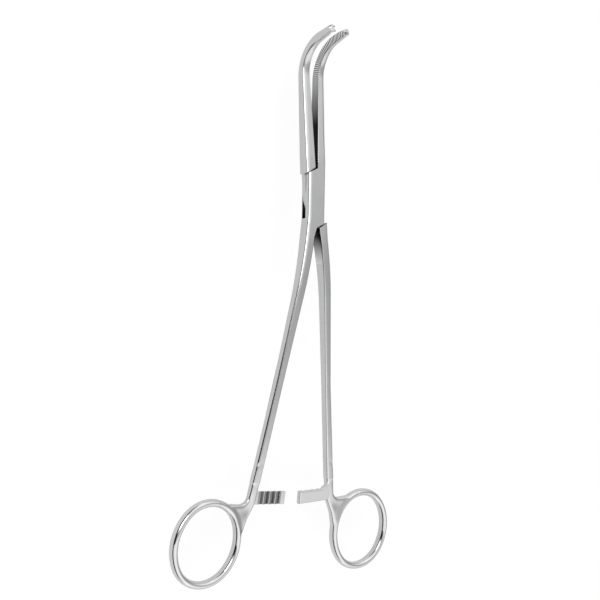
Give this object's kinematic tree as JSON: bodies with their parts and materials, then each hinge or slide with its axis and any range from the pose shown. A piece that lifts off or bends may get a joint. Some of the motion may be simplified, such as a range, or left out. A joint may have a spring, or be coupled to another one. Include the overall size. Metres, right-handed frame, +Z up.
{
  "type": "bile duct clamp",
  "caption": "Long locking surgical clamp: right-angled serrated jaws with toothed tips, a box lock on a flush pin, set-back shanks, ratchet arms and finger rings, resting partly open.",
  "frame": {"origin": "on the table it lies on, under the middle of its outer box, jaws' bends and rings' far ends down", "axes": "+Y along the clamp towards the jaws, +X to the right seen from above, +Z up, the way the jaw tips point"},
  "size_m": [0.114, 0.2334, 0.0207],
  "materials": {
    "female_steel": "satin stainless steel, polished on its edges and ring",
    "male_steel": "satin stainless steel, polished on its edges and ring",
    "pin_steel": "ground flush with the cheeks and polished over"
  },
  "bodies": {
    "female": {"female_half": "female_steel", "pivot_pin": "pin_steel"},
    "male": {"male_half": "male_steel"}
  },
  "joints": [
    {"name": "lock_hinge", "type": "hinge", "parent": "female", "child": "male", "pos_m": [0, 0.0453, 0.00846], "axis": [0, 0.1162, 0.9932], "range_deg": [-5, 45]}
  ]
}
